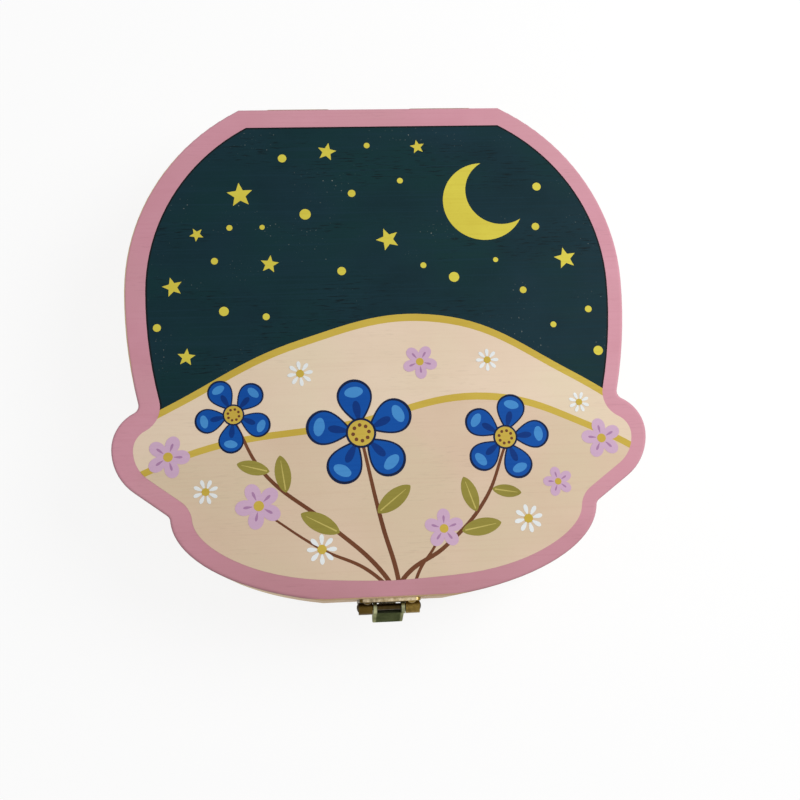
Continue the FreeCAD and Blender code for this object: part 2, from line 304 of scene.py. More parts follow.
def seamShadeAndSoil(tree, coords, wood, seamMm):
    away = counted(tree, "ABSOLUTE", counted(tree, "SUBTRACT", axesOf(tree, coords)["Z"], seamMm * mm))
    clean, darkest, end = pine["seamReachMm"]
    rising = rangedMm(tree, away, (clean, darkest))
    near = times(tree, rising, rangedMm(tree, away, (darkest, end), 1.0, 0.0))
    shadeAndSoil = times(tree, near, ranged(tree, cloud(tree, coords, pine["shadeAndSoilMm"]), *pine["shadeAndSoilRange"]))
    return mixed(tree, shadeAndSoil, wood, colour(pine["shadeAndSoil"]))


# painted shade on the front round the hasp, duller also where the box is held and opened

def shadedAndHandled(tree, coords, wood):
    axes = axesOf(tree, coords)
    front = rangedMm(tree, axes["Y"], pine["frontMm"])
    across = rangedMm(tree, counted(tree, "ABSOLUTE", axes["X"]), pine["besideMm"], 1.0, 0.0)
    uneven = ranged(tree, cloud(tree, coords, pine["shadeAndHandlingMm"], detail=3), *pine["shadeAndHandlingRange"])
    share = times(tree, times(tree, front, across), uneven)
    return mixed(tree, times(tree, share, pine["shadeAndHandlingShare"]), wood, colour(pine["shadeAndSoil"]))


def pineFinish(name, heartMm, turnDeg, seamsMm):
    finish, tree, shader, coords = startFinish(name)
    wood, height, fibres = pineColour(tree, coords, heartMm, turnDeg)
    wood = shadedAndHandled(tree, coords, wood)
    for seam in seamsMm:
        wood = seamShadeAndSoil(tree, coords, wood, seam)
    coat(tree, shader, wood, fibres, height, pine)
    return finish


# printed ink: satin, thin enough for the grain below to show through

ink = {
    "mottleMm": (16, 12, 12), "mottleRange": (0.35, 0.7, 0.0, 0.6),
    "tintMm": (24, 18, 18), "tintRange": (0.4, 0.64, 0.0, 0.7),
    "streakMm": (30, 0.5, 0.5), "streakRange": (0.5, 0.74), "streakDepth": 0.6,
    "fineMm": (9, 0.16, 0.16), "fineDepth": 0.4,
    "gritMm": (0.45, 0.45, 0.45), "gritRange": (0.58, 0.8), "gritShare": 0.6,
    "grainMm": (3.4, 0.36, 0.36), "grainRange": (0.56, 0.68), "grainDark": 0.5, "grainDepth": 0.5,
    "grainPatchMm": (24, 9, 9), "grainPatchRange": (0.5, 0.62),
    "pinholeMm": (0.42, 0.42, 0.42), "pinholeRange": (0.79, 0.87), "pinholePatchMm": (15, 12, 12),
    "pinholePatchRange": (0.53, 0.64), "pinholeShare": 0.55, "bare": (172, 176, 166),
    "roughRange": (0.3, 0.7, 0.5, 0.64), "gloss": 0.08, "reliefMm": 0.03, "relief": 0.5,
}


# short grain lines that the ink sank into, and pinholes that it missed, both in patches

def openGrain(tree, coords, tone, height, shade, grainShare):
    patch = ranged(tree, cloud(tree, coords, ink["grainPatchMm"]), *ink["grainPatchRange"])
    lines = times(tree, ranged(tree, cloud(tree, coords, ink["grainMm"]), *ink["grainRange"]), patch)
    deep = colour([ink["grainDark"] * level for level in shade])
    tone = mixed(tree, times(tree, lines, grainShare), tone, deep)
    around = ranged(tree, cloud(tree, coords, ink["pinholePatchMm"]), *ink["pinholePatchRange"])
    spots = ranged(tree, cloud(tree, coords, ink["pinholeMm"], detail=0), *ink["pinholeRange"])
    holes = times(tree, spots, around)
    tone = mixed(tree, times(tree, holes, grainShare * ink["pinholeShare"]), tone, colour(ink["bare"]))
    return tone, counted(tree, "SUBTRACT", height, times(tree, lines, ink["grainDepth"] * grainShare))


def inkColour(tree, coords, shade, streak, share, tint=None, grainShare=0.0):
    streaks = cloud(tree, coords, ink["streakMm"], detail=3)
    fine = cloud(tree, coords, ink["fineMm"])
    mottle = cloud(tree, coords, ink["mottleMm"], detail=3)
    grit = cloud(tree, coords, ink["gritMm"], detail=1)
    tone = mixed(tree, ranged(tree, mottle, *ink["mottleRange"]), colour(shade), colour(streak))
    if tint:
        turned = ranged(tree, cloud(tree, coords, ink["tintMm"]), *ink["tintRange"])
        tone = mixed(tree, turned, tone, colour(tint))
    tone = mixed(tree, ranged(tree, streaks, *ink["streakRange"], 0.0, share), tone, colour(streak))
    gritty = ranged(tree, grit, *ink["gritRange"], 0.0, share * ink["gritShare"])
    tone = mixed(tree, gritty, tone, colour(streak))
    coarse = times(tree, streaks, ink["streakDepth"])
    height = counted(tree, "ADD", coarse, times(tree, fine, ink["fineDepth"]))
    if grainShare:
        tone, height = openGrain(tree, coords, tone, height, shade, grainShare)
    return tone, height, streaks


def inkFinish(name, shade, streak, share, tint=None, grainShare=0.0):
    finish, tree, shader, coords = startFinish(name)
    tone, height, streaks = inkColour(tree, coords, shade, streak, share, tint, grainShare)
    coat(tree, shader, tone, streaks, height, ink)
    return finish


# brass-plated sheet: drawn lines along the sheet, dull patches, small dark spots

brass = {
    "drawn": {"bright": (158, 132, 70), "dull": (90, 70, 33),
              "drawnMm": (9, 0.07, 0.07), "rough": (0.2, 0.4)},
    "hasp": {"bright": (170, 143, 74), "dull": (70, 53, 21),
             "drawnMm": (9, 0.07, 0.07), "rough": (0.22, 0.42)},
    "tongue": {"bright": (82, 88, 67), "dull": (52, 58, 44),
               "drawnMm": (0.07, 5, 5), "rough": (0.26, 0.42)},
    # the pin between the tongue's arms is painted dark: painted shade in the gap above the tongue
    "pin": {"bright": (74, 60, 32), "dull": (36, 28, 13),
            "drawnMm": (9, 0.07, 0.07), "rough": (0.3, 0.5)},
    "nail": {"bright": (178, 150, 84), "dull": (112, 88, 44),
             "drawnMm": (1.2, 1.2, 1.2), "rough": (0.24, 0.4)},
    "patchMm": (3.2, 3.2, 3.2), "patchRough": 0.62, "patchDepth": 0.6,
    "patchRange": (0.4, 0.66, 0.05, 0.75), "roughRange": (0.35, 0.7),
    "drawnRange": (0.35, 0.7, 0.0, 0.3), "drawnRough": 0.08,
    "spot": (48, 36, 18), "spotMm": (0.7, 0.7, 0.7), "spotRange": (0.66, 0.78), "spotShare": 0.6,
    "darkReflectionMm": (-3.6, 1), "darkReflectionShare": 0.88,
    "cut": (206, 188, 158), "cutMm": (-0.1, -0.03),
    "cutPatchMm": (0.9, 0.9, 0.9), "cutRange": (0.35, 0.65, 0.3, 0.95),
    "armHighlight": (186, 186, 144), "armMm": (2.6, 2.9), "armRange": (0.3, 0.62, 0.9, 0.35),
    "glanceTint": (182, 184, 168), "reliefMm": 0.02, "relief": 0.35,
}


# the hasp's left end is painted darker than its right, a painted dark reflection,
# and the plate's cut top edge is greyer than its faces

def haspDarkReflectionAndCutEdge(tree, coords, metal, dull):
    axes = axesOf(tree, coords)
    left = rangedMm(tree, axes["X"], brass["darkReflectionMm"], brass["darkReflectionShare"], 0.0)
    metal = mixed(tree, left, metal, dull)
    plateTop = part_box("hasp_lid_plate")[1].z
    edge = ranged(tree, axes["Z"], *[plateTop + reach * mm for reach in brass["cutMm"]])
    uneven = ranged(tree, cloud(tree, coords, brass["cutPatchMm"], detail=3), *brass["cutRange"])
    return mixed(tree, times(tree, edge, uneven), metal, colour(brass["cut"]))


# painted highlights: the tongue's two arms are painted bright

def tongueArmHighlights(tree, coords, metal, patch):
    aside = counted(tree, "ABSOLUTE", axesOf(tree, coords)["X"])
    armHighlight = times(tree, rangedMm(tree, aside, brass["armMm"]), ranged(tree, patch, *brass["armRange"]))
    return mixed(tree, armHighlight, metal, colour(brass["armHighlight"]))


def brassFinish(name):
    sheet = brass[name]
    finish, tree, shader, coords = startFinish(name + "_brass")
    drawn = cloud(tree, coords, sheet["drawnMm"])
    patch = cloud(tree, coords, brass["patchMm"], detail=4, rough=brass["patchRough"])
    spots = ranged(tree, cloud(tree, coords, brass["spotMm"]), *brass["spotRange"])
    bright, dull = colour(sheet["bright"]), colour(sheet["dull"])
    metal = mixed(tree, ranged(tree, patch, *brass["patchRange"]), bright, dull)
    metal = mixed(tree, ranged(tree, drawn, *brass["drawnRange"]), metal, dull)
    if name == "hasp":
        metal = haspDarkReflectionAndCutEdge(tree, coords, metal, dull)
    if name == "tongue":
        metal = tongueArmHighlights(tree, coords, metal, patch)
        shader.inputs["Specular Tint"].default_value = colour(brass["glanceTint"])
    metal = mixed(tree, times(tree, spots, brass["spotShare"]), metal, colour(brass["spot"]))
    tree.links.new(metal, shader.inputs["Base Color"])
    shader.inputs["Metallic"].default_value = 1
    dulled = ranged(tree, patch, *brass["roughRange"], *sheet["rough"])
    rough = counted(tree, "ADD", dulled, times(tree, drawn, brass["drawnRough"]))
    tree.links.new(rough, shader.inputs["Roughness"])
    relief(tree, shader, counted(tree, "ADD", drawn, times(tree, patch, brass["patchDepth"])), brass)
    return finish


def dress(piece, finish):
    piece.data.materials.clear()
    piece.data.materials.append(finish)


def dressNode(node, finish):
    slots = nodes[node].data.materials
    if len(slots):
        for index in range(len(slots)):
            slots[index] = finish
    else:
        slots.append(finish)


lidLow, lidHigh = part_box("lid_board")
parting = lidLow.z / mm
boards = {
    "bottom_board": {"heartMm": (0, 14, 46), "turnDeg": 1.2, "seamsMm": (8, 0)},
    "tooth_tray": {"heartMm": (30, -21, 62), "turnDeg": -0.8, "seamsMm": (8, parting)},
}
for board, cut in boards.items():
    dressNode(board, pineFinish(board + "_pine", **cut))

fittings = {word: brassFinish(word) for word in ("drawn", "hasp", "tongue", "pin", "nail")}
for node in nodes:
    if "tongue" in node:
        dressNode(node, fittings["tongue"])
    elif node == "hasp_pin":
        dressNode(node, fittings["pin"])
    elif "hasp" in node:
        dressNode(node, fittings["hasp"])
    elif "nails" in node:
        dressNode(node, fittings["nail"])
    elif "hinge" in node:
        dressNode(node, fittings["drawn"])
print("boards and fittings dressed")


# the lid: the board again, its top lowered by the ink's height, so that the print ends at the board's top

lid = {
    "inkMm": 0.12, "roundedMm": 0.75, "rimMm": 0.25, "mergeMm": 0.002, "smoothDeg": 32,
    "heartMm": (-18, 8, 55), "turnDeg": 0.6,
    "pink": (202, 144, 158), "pinkStreak": (192, 132, 145), "pinkTint": (196, 142, 152), "streakShare": 0.4,
    "grainShare": 0.12, "inkReachMm": (0.5, 0.07), "inkEdgeMm": (-0.04, 0.02),
    "raggedMm": (1.6, 1.6, 1.2), "raggedRange": (0.3, 0.7, 0.82, 1.18),
    "leftXMm": (-46, -34), "leftYMm": (-14, -4), "chinXMm": (15, 20), "chinYMm": (-56, -52),
    "shadedAndHandled": (152, 104, 104), "shadeAndHandlingYMm": (-34, -56), "shadeAndHandlingShare": 0.42,
    "shadeAndHandlingMm": (14, 9, 9), "shadeAndHandlingRange": (0.25, 0.75, 0.6, 1.0),
    "greyEdge": (140, 112, 110), "greyEdgeMm": (-0.5, -0.12), "greyEdgeShare": 0.7,
    "roughRange": (0.25, 0.75, 0.5, 0.64), "gloss": 0.2, "inkDepth": 0.4, "reliefMm": 0.04, "relief": 0.5,
}
lidTop = lidHigh.z
inkFloor = lidTop - lid["inkMm"] * mm

printedLid = bpy.data.objects.new("printed_lid", nodes["lid_board"].data.copy())
bpy.context.scene.collection.objects.link(printedLid)
takeUp(printedLid)
bpy.ops.mesh.customdata_custom_splitnormals_clear()
editAll(printedLid)
bpy.ops.mesh.remove_doubles(threshold=lid["mergeMm"] * mm)
leaveEdit()
pickFaces(printedLid, lambda face: facesUp(face) and face.center.z > lidTop - hair)
bpy.ops.mesh.dissolve_faces()
bpy.ops.mesh.inset(thickness=lid["rimMm"] * mm, depth=0)
leaveEdit()
pickVertices(printedLid, lambda place: place.z > lidTop - lid["roundedMm"] * mm)
bpy.ops.transform.translate(value=(0, 0, -lid["inkMm"] * mm))
leaveEdit()
takeUp(printedLid)
bpy.ops.object.shade_smooth_by_angle(angle=math.radians(lid["smoothDeg"]))


def aboveInkFloor(tree, height, reachMm, newLow=0.0, newHigh=1.0):
    low, high = [inkFloor + reach * mm for reach in reachMm]
    return ranged(tree, height, low, high, newLow, newHigh)


# the ink runs over the rounded edge at the right and the crown,
# and stops short of it at the left and the chin

def inkedShare(tree, coords, axes):
    leftmost = rangedMm(tree, axes["X"], lid["leftXMm"], 1.0, 0.0)
    left = times(tree, leftmost, rangedMm(tree, axes["Y"], lid["leftYMm"]))
    frontmost = rangedMm(tree, axes["Y"], lid["chinYMm"], 1.0, 0.0)
    aside = counted(tree, "ABSOLUTE", axes["X"])
    chin = times(tree, frontmost, rangedMm(tree, aside, lid["chinXMm"], 1.0, 0.0))
    far, short = lid["inkReachMm"]
    reach = ranged(tree, counted(tree, "MAXIMUM", left, chin), 0, 1, far * mm, short * mm)
    ragged = ranged(tree, cloud(tree, coords, lid["raggedMm"], detail=3), *lid["raggedRange"])
    edge = counted(tree, "ADD", axes["Z"], times(tree, reach, ragged))
    return aboveInkFloor(tree, edge, lid["inkEdgeMm"])


def lidFinish():
    finish, tree, shader, coords = startFinish("pine_with_pink_ink")
    axes = axesOf(tree, coords)
    wood, woodHeight, fibres = pineColour(tree, coords, lid["heartMm"], lid["turnDeg"])
    wood = seamShadeAndSoil(tree, coords, shadedAndHandled(tree, coords, wood), parting)
    shades = (lid["pink"], lid["pinkStreak"], lid["streakShare"], lid["pinkTint"], lid["grainShare"])
    pink, inkHeight = inkColour(tree, coords, *shades)[:2]
    # greyer towards the chin: painted shade, and wear where fingers lift the lid
    front = rangedMm(tree, axes["Y"], lid["shadeAndHandlingYMm"], 0.0, lid["shadeAndHandlingShare"])
    uneven = ranged(tree, cloud(tree, coords, lid["shadeAndHandlingMm"], detail=3), *lid["shadeAndHandlingRange"])
    pink = mixed(tree, times(tree, front, uneven), pink, colour(lid["shadedAndHandled"]))
    # and greyer on the rounded edge
    greyOnEdge = aboveInkFloor(tree, axes["Z"], lid["greyEdgeMm"], lid["greyEdgeShare"], 0.0)
    pink = mixed(tree, greyOnEdge, pink, colour(lid["greyEdge"]))
    tone = mixed(tree, inkedShare(tree, coords, axes), wood, pink)
    height = counted(tree, "ADD", woodHeight, times(tree, inkHeight, lid["inkDepth"]))
    coat(tree, shader, tone, fibres, height, lid)
    return finish


dress(printedLid, lidFinish())
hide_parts("lid_board")
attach(printedLid, "lid")
print("lid dressed")


# the print's fields: every ink layer stands on the lid, higher layers lie over lower ones

layerCount = 15
layerStep = lid["inkMm"] * mm / layerCount
field = {
    "borderMm": 3.3, "keylineMm": 0.4, "shiftMm": (0.65, -0.5, 0), "cutterMm": 4,
    "chinCuts": 27, "chinRiseMm": 0.72, "chinReachMm": 19,
}

biggest = max(face.area for face in printedLid.data.polygons)
pickFaces(printedLid, lambda face: facesUp(face) and face.area > 0.9 * biggest)
bpy.ops.mesh.duplicate()
bpy.ops.mesh.separate(type="SELECTED")
leaveEdit()
blankField = [piece for piece in bpy.context.selected_objects if piece is not printedLid][0]
blankField.name = blankField.data.name = "blank_field"
for key in list(blankField.keys()):
    if key.startswith("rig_"):
        del blankField[key]
blankField.parent = None


def insetField(piece, widthMm):
    editAll(piece)
    bpy.ops.mesh.select_mode(type="FACE")
    bpy.ops.mesh.inset(thickness=widthMm * mm, depth=0, use_even_offset=True)
    bpy.ops.mesh.select_all(action="INVERT")
    bpy.ops.mesh.delete(type="FACE")
    leaveEdit()
    return piece


# the field is rounded at the chin, where the board's own edge is flat

def roundChin(piece):
    flat = min(vertex.co.y for vertex in piece.data.vertices) + hair
    ends = [vertex.co.x for vertex in piece.data.vertices if vertex.co.y < flat]
    left, right = min(ends) + hair, max(ends) - hair
    pickVertices(piece, lambda place: place.y < flat)
    bpy.ops.mesh.subdivide(number_cuts=field["chinCuts"])
    leaveEdit()
    pickVertices(piece, lambda place: place.y < flat and not left < place.x < right)
    rise = (0, field["chinRiseMm"] * mm, 0)
    bpy.ops.transform.translate(value=rise, **softly("SHARP", field["chinReachMm"]))
    leaveEdit()


insetField(blankField, field["borderMm"])
movePiece(blankField, field["shiftMm"])
roundChin(blankField)
tallField = thicken(copyPiece(blankField, "tall_field"), field["cutterMm"] * mm)
movePiece(tallField, (0, 0, -field["cutterMm"] / 2))


def signInk(piece, name, finish):
    settle(piece)
    bpy.ops.object.shade_flat()
    piece.name = piece.data.name = name
    dress(piece, finish)
    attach(piece, "lid")


def layInk(piece, layer, name, finish):
    thicken(piece, layer * layerStep)
    signInk(piece, name, finish)


keylineInk = inkFinish("keyline_ink", (10, 18, 20), (18, 27, 29), 0.5)
skyInk = inkFinish("night_sky_ink", (10, 37, 44), (20, 47, 57), 0.6, (10, 45, 46), 0.85)
farInk = inkFinish("far_hill_ink", (222, 201, 178), (214, 191, 167), 0.4, (217, 201, 173), 0.09)
nearInk = inkFinish("near_hill_ink", (213, 189, 165), (204, 178, 153), 0.4, (207, 189, 160), 0.09)
goldInk = inkFinish("gold_ink", (196, 170, 72), (182, 154, 58), 0.45)

layInk(copyPiece(blankField, "keyline"), 1, "sky_keyline", keylineInk)
layInk(insetField(copyPiece(blankField, "sky"), field["keylineMm"]), 2, "night_sky", skyInk)


# a line of ink along a drawn curve: the curve's own width, laid flat

def drawnLine(pointsMm, widthMm, steps):
    dropAll()
    bpy.ops.curve.primitive_bezier_curve_add(location=(0, 0, 0))
    line = bpy.context.object
    points = line.data.splines[0].bezier_points
    points.add(len(pointsMm) - 2)
    for point, (x, y, share) in zip(points, pointsMm):
        point.co = (x * mm, y * mm, inkFloor)
        point.handle_left_type = point.handle_right_type = "AUTO"
        point.radius = share
        point.tilt = math.pi / 2
    line.data.twist_mode = "Z_UP"
    line.data.resolution_u = steps
    line.data.extrude = widthMm * mm / 2
    bpy.ops.object.convert(target="MESH")
    return bpy.context.object


# a crest is a list of points across the lid: place and share of the line's width
hills = {
    "far": {"layer": 3, "finish": farInk, "crestMm": [
        (-72, -27, 1), (-47, -14, 1), (-18, 0, 1.1), (14, 5, 1.15), (43, -8.5, 1), (72, -29, 1)]},
    "near": {"layer": 5, "finish": nearInk, "crestMm": [
        (-72, -38, 1), (-41, -24, 1), (-8, -19, 1), (24, -13.5, 1.1), (47, -21, 1), (72, -36, 1)]},
}
crest = {"lineMm": 1.5, "steps": 14, "footMm": -75, "cutterMm": 6}


def hillSide(crestMm):
    slope = drawnLine([(x, y, 0) for x, y, share in crestMm], 0, crest["steps"])
    editAll(slope)
    bpy.ops.mesh.extrude_edges_move(TRANSFORM_OT_translate={"value": (0, -1 * mm, 0)})
    bpy.ops.transform.resize(value=(1, 0, 1), center_override=(0, crest["footMm"] * mm, 0))
    leaveEdit()
    thicken(slope, crest["cutterMm"] * mm)
    return movePiece(slope, (0, 0, -crest["cutterMm"] / 2))


for word, hill in hills.items():
    slope = hillSide(hill["crestMm"])
    ground = thicken(copyPiece(blankField, word), hill["layer"] * layerStep)
    cutWith(ground, slope, "INTERSECT")
    signInk(ground, word + "_hill", hill["finish"])
    discard(slope)
    line = drawnLine(hill["crestMm"], crest["lineMm"], crest["steps"])
    thicken(line, (hill["layer"] + 1) * layerStep)
    cutWith(line, tallField, "INTERSECT")
    signInk(line, word + "_hill_line", goldInk)
print("fields and hills printed")


# motifs are drawn once, round the origin and a millimetre or two across, then copied to their places

def flatRound(points, radius=1.0):
    dropAll()
    bpy.ops.mesh.primitive_circle_add(vertices=points, radius=radius * mm, fill_type="NGON",
                                      location=(0, 0, 0))
    return bpy.context.object


def turnOf(place):
    return math.degrees(math.atan2(place.y, place.x)) % 360


star = {"tips": 5, "waist": 0.44}


def starBlank():
    blank = flatRound(2 * star["tips"])
    step = 180 / star["tips"]
    pickVertices(blank, lambda place: round((turnOf(place) - 90) / step) % 2 == 1)
    bpy.ops.transform.resize(value=(star["waist"], star["waist"], 1), center_override=(0, 0, 0))
    leaveEdit()
    return blank


lobe = {"points": 36, "slackDeg": 0.5, "reachMm": 3.1}


# a round pinched in at the hollows between its lobes
def lobedBlank(lobes, pinch):
    blossom = flatRound(lobes * lobe["points"])
    step = 360 / lobes

    def fromHollow(place):
        turn = turnOf(place) - 90 + step / 2
        return min(turn % step, -turn % step)

    pickVertices(blossom, lambda place: fromHollow(place) < lobe["slackDeg"])
    bpy.ops.transform.resize(value=(pinch, pinch, 1), center_override=(0, 0, 0),
                             **softly("SHARP", lobe["reachMm"] / lobes))
    leaveEdit()
    return blossom


petals = {"points": 60, "footPick": 0.995, "reach": 0.95, "mergeMm": 0.001}


# a petal points away from the flower's middle and is drawn in towards it
def petalBlank(length, width, start, narrow):
    petal = flatRound(petals["points"], 0.5)
    editAll(petal)
    bpy.ops.transform.resize(value=(width, length, 1), center_override=(0, 0, 0))
    leaveEdit()
    foot = -0.5 * length * mm
    pickVertices(petal, lambda place: place.y < foot * petals["footPick"])
    bpy.ops.transform.resize(value=(narrow, 1, 1), center_override=(0, foot, 0),
                             **softly("SMOOTH", petals["reach"] * length))
    leaveEdit()
    return movePiece(petal, (0, start + length / 2, 0))


def ringOf(petal, count):
    editAll(petal)
    bpy.ops.mesh.spin(steps=count, dupli=True, angle=math.tau, center=(0, 0, 0), axis=(0, 0, 1))
    bpy.ops.mesh.select_all(action="SELECT")
    bpy.ops.mesh.remove_doubles(threshold=petals["mergeMm"] * mm)
    leaveEdit()
    return petal


leaf = {"points": 64, "wide": 0.42, "long": 0.84, "tipPick": 0.999, "tipMm": 0.08, "tipReachMm": 0.3}


def leafBlank():
    blank = flatRound(leaf["points"], 0.5)
    editAll(blank)
    bpy.ops.transform.resize(value=(leaf["wide"], leaf["long"], 1), center_override=(0, 0, 0))
    leaveEdit()
    for way in (1, -1):
        pickVertices(blank, lambda place: place.y * way > leaf["tipPick"] * leaf["long"] / 2 * mm)
        tip = (0, way * leaf["tipMm"] * mm, 0)
        bpy.ops.transform.translate(value=tip, **softly("SHARP", leaf["tipReachMm"]))
        leaveEdit()
    return movePiece(blank, (0, leaf["long"] / 2 + leaf["tipMm"], 0))


crescent = {"points": 72, "biteRadius": 0.86, "biteMm": (0.46, 0.2, -0.3), "slabMm": 0.1, "biteSlabMm": 0.6}


def crescentBlank():
    moon = thicken(flatRound(crescent["points"]), crescent["slabMm"] * mm)
    bite = thicken(flatRound(crescent["points"], crescent["biteRadius"]), crescent["biteSlabMm"] * mm)
    movePiece(bite, crescent["biteMm"])
    cutWith(moon, bite, "DIFFERENCE")
    discard(bite)
    # only its lower face is kept, to be thickened with the others
    pickFaces(moon, lambda face: face.normal.z > -0.9)
    bpy.ops.mesh.delete(type="FACE")
    leaveEdit()
    return moon


def scatter(master, places, name):
    copies = []
    for x, y, turn, size in places:
        twin = copyPiece(master, name)
        twin.location = (x * mm, y * mm, inkFloor)
        twin.rotation_euler = (0, 0, math.radians(turn))
        twin.scale = (size, size, 1)
        copies.append(settle(twin))
    discard(master)
    return joinPieces(copies, name)


# each place is x, y, turn and size
sky = {
    "moon": [(26, 33.5, 8, 9.6)],
    "stars": [(-31, 36, 5, 3.1), (-10.5, 46.5, -12, 2.3), (-46.5, 14, 14, 2.4), (3, 24.5, 20, 2.8),
              (-24.5, 19, -8, 2.2), (44.5, 19, 10, 2.7), (-41, 26.5, 30, 1.7), (11, 47.5, 8, 1.8),
              (-43.5, -2.5, -6, 2.1)],
    "dots": [(-21, 45, 0, 1.0), (-37, 20, 0, 0.8), (-16, 31, 0, 1.3), (-33.5, 28, 0, 0.7), (-5, 36, 0, 0.9),
             (-8, 17, 0, 1.0), (11, 18, 0, 0.7), (18, 15, 0, 1.2), (34, 11.5, 0, 0.8), (38, 27, 0, 0.9),
             (6.5, 39, 0, 0.7), (-50, 4.5, 0, 0.9), (-35, 8, 0, 1.1), (49, 6.5, 0, 0.8), (28, 19, 0, 0.6),
             (-26, 28, 0, 0.6), (39, 37, 0, 1.0), (-1, 48, 0, 0.7),
             (-25.5, 6.5, 0, 0.8), (50.5, -3.5, 0, 1.1), (40.5, 3, 0, 0.7)],
}
starInk = inkFinish("star_gold_ink", (208, 196, 74), (192, 174, 60), 0.4)
layInk(scatter(crescentBlank(), sky["moon"], "moon"), 3, "moon", starInk)
layInk(scatter(starBlank(), sky["stars"], "stars"), 3, "stars", starInk)
layInk(scatter(flatRound(36), sky["dots"], "dots"), 3, "star_dots", starInk)
print("sky printed")


# the posy: three blue flowers, lilac ones beside them, daisies, stems and leaves

posy = {
    "blue": [(-5, -21, 8, 12.4), (-33.2, -16, 30, 8.7), (27.5, -23, -14, 10)],
    "lilac": [(49.5, -24, 10, 4.6), (-47.6, -25, -20, 4.8), (-28, -36.5, 24, 5.2), (12.5, -43, 0, 4.4),
              (9, -5, 40, 4.0), (38.8, -33.5, 15, 3.4)],
    "daisies": [(-14.5, -46.5, 0, 3.3), (31.5, -41.5, 12, 3.2), (-39.5, -33, 20, 2.8), (-18.2, -7, 8, 2.9),
                (24.5, -5, 0, 2.6), (45, -15.5, 24, 2.4)],
    "stems": [[(2.6, -60, 1), (1.6, -52, 1), (-1, -42, 0.95), (-4.8, -23, 0.7)],
              [(3, -60, 1), (-1.5, -52, 1), (-13, -41, 0.9), (-27, -29, 0.8), (-32.8, -18, 0.6)],
              [(-1, -60, 1), (4, -52.5, 1), (12.5, -47, 0.9), (22, -37, 0.8), (27.3, -25, 0.6)],
              [(4, -60, 0.8), (-4.5, -51.5, 0.8), (-14.5, -46.5, 0.6), (-27.5, -37.5, 0.45)],
              [(4, -60, 0.7), (6.6, -52, 0.7), (9.8, -47.5, 0.6), (12.3, -43.5, 0.45)]],
    "leaves": [(-10.5, -43, 62, 9.5), (-22, -33.8, 8, 8.4), (-2, -39, -52, 9.5), (16.5, -43.7, -80, 9),
               (20, -39.5, 18, 8.2), (-25.5, -29, 75, 7.4), (23.8, -34.6, -100, 6.6)],
    "stemMm": 1.0, "stemSteps": 16,
    "veinMm": 0.32, "veinSteps": 8, "vein": ((0.08, 1), (0.5, 0.8), (0.86, 0.3)),
}
stemInk = inkFinish("stem_ink", (109, 66, 43), (94, 54, 34), 0.4)
leafInk = inkFinish("leaf_ink", (146, 136, 62), (128, 117, 50), 0.45)
veinInk = inkFinish("leaf_vein_ink", (190, 176, 98), (172, 158, 82), 0.4)
navyInk = inkFinish("navy_ink", (12, 26, 58), (18, 36, 74), 0.4)
blueInk = inkFinish("blue_ink", (14, 78, 158), (10, 66, 144), 0.4)
deepBlueInk = inkFinish("deep_blue_ink", (9, 52, 122), (7, 44, 106), 0.4)
paleBlueInk = inkFinish("pale_blue_ink", (70, 138, 198), (54, 120, 184), 0.4)
lilacInk = inkFinish("lilac_ink", (200, 167, 192), (190, 156, 183), 0.4)
deepLilacInk = inkFinish("deep_lilac_ink", (166, 126, 162), (152, 112, 150), 0.4)
whiteInk = inkFinish("white_ink", (226, 230, 230), (208, 212, 212), 0.4)

stems = []
for points in posy["stems"]:
    stems.append(thicken(drawnLine(points, posy["stemMm"], posy["stemSteps"]), 7 * layerStep))
for stem in stems[1:]:
    cutWith(stems[0], stem, "UNION")
    discard(stem)
cutWith(stems[0], tallField, "INTERSECT")
signInk(stems[0], "flower_stems", stemInk)
layInk(scatter(leafBlank(), posy["leaves"], "leaves"), 8, "leaves", leafInk)
veins = []
for x, y, turn, size in posy["leaves"]:
    way = math.radians(turn + 90)
    points = [(x + math.cos(way) * size * reach, y + math.sin(way) * size * reach, share)
              for reach, share in posy["vein"]]
    veins.append(drawnLine(points, posy["veinMm"], posy["veinSteps"]))
layInk(joinPieces(veins, "veins"), 9, "leaf_veins", veinInk)

# a petal is its length, width, start and narrowing, a round is its points and radius,
# and lobes are their number and pinch
flowerParts = {
    "blue_flower_outlines": {"at": "blue", "layer": 10, "ink": navyInk,
                             "petal": (0.84, 0.72, 0.16, 0.3), "count": 5},
    "blue_petals": {"at": "blue", "layer": 11, "ink": blueInk,
                    "petal": (0.74, 0.64, 0.21, 0.3), "count": 5},
    "blue_petal_shades": {"at": "blue", "layer": 12, "ink": deepBlueInk,
                          "petal": (0.36, 0.16, 0.24, 0.6), "count": 5},
    "blue_petal_lights": {"at": "blue", "layer": 12, "ink": paleBlueInk,
                          "petal": (0.2, 0.34, 0.66, 0.7), "count": 5},
    "blue_flower_rims": {"at": "blue", "layer": 13, "ink": navyInk, "round": (48, 0.275)},
    "blue_flower_hearts": {"at": "blue", "layer": 14, "ink": goldInk, "round": (48, 0.235)},
    "blue_flower_seeds": {"at": "blue", "layer": 15, "ink": stemInk,
                          "round": (20, 0.034), "outMm": 0.145, "count": 8},
    "lilac_flowers": {"at": "lilac", "layer": 10, "ink": lilacInk, "lobes": (5, 0.5)},
    "lilac_strokes": {"at": "lilac", "layer": 11, "ink": deepLilacInk,
                      "petal": (0.4, 0.14, 0.26, 0.4), "count": 5},
    "lilac_hearts": {"at": "lilac", "layer": 12, "ink": goldInk, "round": (36, 0.22)},
    "daisy_petals": {"at": "daisies", "layer": 10, "ink": whiteInk,
                     "petal": (0.72, 0.36, 0.28, 0.45), "count": 8},
    "daisy_hearts": {"at": "daisies", "layer": 11, "ink": goldInk, "round": (36, 0.31)},
}


